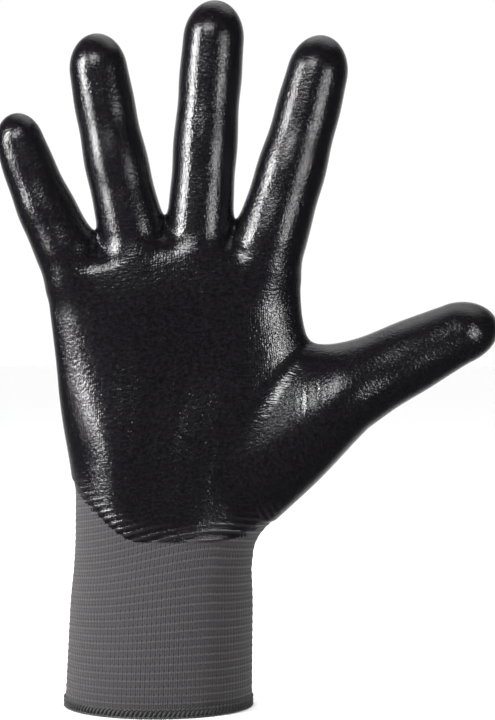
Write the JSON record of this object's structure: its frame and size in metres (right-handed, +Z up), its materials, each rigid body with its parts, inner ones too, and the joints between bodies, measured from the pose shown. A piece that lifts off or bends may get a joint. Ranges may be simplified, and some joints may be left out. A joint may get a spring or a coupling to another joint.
{
  "type": "work glove",
  "caption": "Knitted work glove for the right hand with a black rubber-coated palm and fingers, a long grey elastic cuff and an overlocked hem; every finger, the thumb and the wrist bend.",
  "frame": {"origin": "centre of the cuff's opening, level with the hem's lower face", "axes": "+Z up from the cuff to the fingertips, -Y out of the palm, +X to the thumb side"},
  "size_m": [0.1792, 0.0502, 0.252],
  "materials": {
    "liner_knit": "fine seamless knit, matt, dark purplish grey",
    "cuff_knit": "ribbed elastic knit, matt, dark purplish grey, with lighter elastic courses",
    "hem_thread": "black overlock stitching, soft sheen",
    "elastic_yarn": "covered elastic yarn, matt, light grey",
    "coating": "black dipped coating, semi-gloss, the knit showing through as fine relief",
    "coated_fold": "coated knit where it folds, semi-gloss black"
  },
  "bodies": {
    "cuff": {"cuff_knit": "cuff_knit", "cuff_hem": "hem_thread", "cuff_elastic_yarn": "elastic_yarn", "wrist_stretch_ring": "cuff_knit"},
    "hand": {"hand_knit": "liner_knit", "palm_coating": "coating"},
    "pinky_base": {"pinky_base_knit": "liner_knit", "pinky_base_coating": "coating", "pinky_base_stretch_ring": "coated_fold"},
    "pinky_middle": {"pinky_middle_knit": "liner_knit", "pinky_middle_coating": "coating", "pinky_middle_stretch_ring": "coated_fold"},
    "pinky_tip": {"pinky_tip_knit": "liner_knit", "pinky_tip_coating": "coating", "pinky_tip_stretch_ring": "coated_fold"},
    "ring_base": {"ring_base_knit": "liner_knit", "ring_base_coating": "coating", "ring_base_stretch_ring": "coated_fold"},
    "ring_middle": {"ring_middle_knit": "liner_knit", "ring_middle_coating": "coating", "ring_middle_stretch_ring": "coated_fold"},
    "ring_tip": {"ring_tip_knit": "liner_knit", "ring_tip_coating": "coating", "ring_tip_stretch_ring": "coated_fold"},
    "middle_base": {"middle_base_knit": "liner_knit", "middle_base_coating": "coating", "middle_base_stretch_ring": "coated_fold"},
    "middle_middle": {"middle_middle_knit": "liner_knit", "middle_middle_coating": "coating", "middle_middle_stretch_ring": "coated_fold"},
    "middle_tip": {"middle_tip_knit": "liner_knit", "middle_tip_coating": "coating", "middle_tip_stretch_ring": "coated_fold"},
    "index_base": {"index_base_knit": "liner_knit", "index_base_coating": "coating", "index_base_stretch_ring": "coated_fold"},
    "index_middle": {"index_middle_knit": "liner_knit", "index_middle_coating": "coating", "index_middle_stretch_ring": "coated_fold"},
    "index_tip": {"index_tip_knit": "liner_knit", "index_tip_coating": "coating", "index_tip_stretch_ring": "coated_fold"},
    "thumb_base": {"thumb_base_knit": "liner_knit", "thumb_base_coating": "coating", "thumb_base_stretch_ring": "coated_fold"},
    "thumb_tip": {"thumb_tip_knit": "liner_knit", "thumb_tip_coating": "coating", "thumb_tip_stretch_ring": "coated_fold"}
  },
  "joints": [
    {"name": "wrist_bend", "type": "hinge", "parent": "cuff", "child": "hand", "pos_m": [0, 0, 0.048], "axis": [1, 0, 0], "range_deg": [-40, 40], "stiffness_Nm_per_rad": 0.15, "deforming": ["wrist_stretch_ring"]},
    {"name": "pinky_base_bend", "type": "hinge", "parent": "hand", "child": "pinky_base", "pos_m": [-0.03309, 0, 0.16328], "axis": [0.9239, 0, 0.3827], "range_deg": [-10, 60], "stiffness_Nm_per_rad": 0.03, "deforming": ["pinky_base_stretch_ring"]},
    {"name": "pinky_middle_bend", "type": "hinge", "parent": "pinky_base", "child": "pinky_middle", "pos_m": [-0.04002, 0, 0.18001], "axis": [0.9239, 0, 0.3827], "range_deg": [0, 63], "stiffness_Nm_per_rad": 0.02, "deforming": ["pinky_middle_stretch_ring"]},
    {"name": "pinky_tip_bend", "type": "hinge", "parent": "pinky_middle", "child": "pinky_tip", "pos_m": [-0.04618, 0, 0.19488], "axis": [0.9239, 0, 0.3827], "range_deg": [0, 37.8], "stiffness_Nm_per_rad": 0.02, "deforming": ["pinky_tip_stretch_ring"]},
    {"name": "ring_base_bend", "type": "hinge", "parent": "hand", "child": "ring_base", "pos_m": [-0.00968, 0, 0.17043], "axis": [0.9806, 0, 0.1959], "range_deg": [-10, 60], "stiffness_Nm_per_rad": 0.03, "deforming": ["ring_base_stretch_ring"]},
    {"name": "ring_middle_bend", "type": "hinge", "parent": "ring_base", "child": "ring_middle", "pos_m": [-0.01457, 0, 0.19493], "axis": [0.9806, 0, 0.1959], "range_deg": [0, 63], "stiffness_Nm_per_rad": 0.02, "deforming": ["ring_middle_stretch_ring"]},
    {"name": "ring_tip_bend", "type": "hinge", "parent": "ring_middle", "child": "ring_tip", "pos_m": [-0.01892, 0, 0.21671], "axis": [0.9806, 0, 0.1959], "range_deg": [0, 37.8], "stiffness_Nm_per_rad": 0.02, "deforming": ["ring_tip_stretch_ring"]},
    {"name": "middle_base_bend", "type": "hinge", "parent": "hand", "child": "middle_base", "pos_m": [0.01484, 0, 0.17207], "axis": [0.9972, 0, -0.075], "range_deg": [-10, 60], "stiffness_Nm_per_rad": 0.03, "deforming": ["middle_base_stretch_ring"]},
    {"name": "middle_middle_bend", "type": "hinge", "parent": "middle_base", "child": "middle_middle", "pos_m": [0.01696, 0, 0.20028], "axis": [0.9972, 0, -0.075], "range_deg": [0, 63], "stiffness_Nm_per_rad": 0.02, "deforming": ["middle_middle_stretch_ring"]},
    {"name": "middle_tip_bend", "type": "hinge", "parent": "middle_middle", "child": "middle_tip", "pos_m": [0.01885, 0, 0.22536], "axis": [0.9972, 0, -0.075], "range_deg": [0, 37.8], "stiffness_Nm_per_rad": 0.02, "deforming": ["middle_tip_stretch_ring"]},
    {"name": "index_base_bend", "type": "hinge", "parent": "hand", "child": "index_base", "pos_m": [0.04032, 0, 0.16756], "axis": [0.9636, 0, -0.2672], "range_deg": [-10, 60], "stiffness_Nm_per_rad": 0.03, "deforming": ["index_base_stretch_ring"]},
    {"name": "index_middle_bend", "type": "hinge", "parent": "index_base", "child": "index_middle", "pos_m": [0.04732, 0, 0.19282], "axis": [0.9636, 0, -0.2672], "range_deg": [0, 63], "stiffness_Nm_per_rad": 0.02, "deforming": ["index_middle_stretch_ring"]},
    {"name": "index_tip_bend", "type": "hinge", "parent": "index_middle", "child": "index_tip", "pos_m": [0.05355, 0, 0.21526], "axis": [0.9636, 0, -0.2672], "range_deg": [0, 37.8], "stiffness_Nm_per_rad": 0.02, "deforming": ["index_tip_stretch_ring"]},
    {"name": "thumb_base_bend", "type": "hinge", "parent": "hand", "child": "thumb_base", "pos_m": [0.0683, -0.005, 0.1132], "axis": [0.3552, -0.5736, -0.7381], "range_deg": [-10, 50], "stiffness_Nm_per_rad": 0.03, "deforming": ["thumb_base_stretch_ring"]},
    {"name": "thumb_tip_bend", "type": "hinge", "parent": "thumb_base", "child": "thumb_tip", "pos_m": [0.09173, -0.005, 0.12448], "axis": [0.3552, -0.5736, -0.7381], "range_deg": [0, 60], "stiffness_Nm_per_rad": 0.02, "deforming": ["thumb_tip_stretch_ring"]}
  ],
  "couplings": [
    {"joint": "pinky_tip_bend", "follows": "pinky_middle_bend", "ratio": 0.6},
    {"joint": "ring_tip_bend", "follows": "ring_middle_bend", "ratio": 0.6},
    {"joint": "middle_tip_bend", "follows": "middle_middle_bend", "ratio": 0.6},
    {"joint": "index_tip_bend", "follows": "index_middle_bend", "ratio": 0.6}
  ]
}
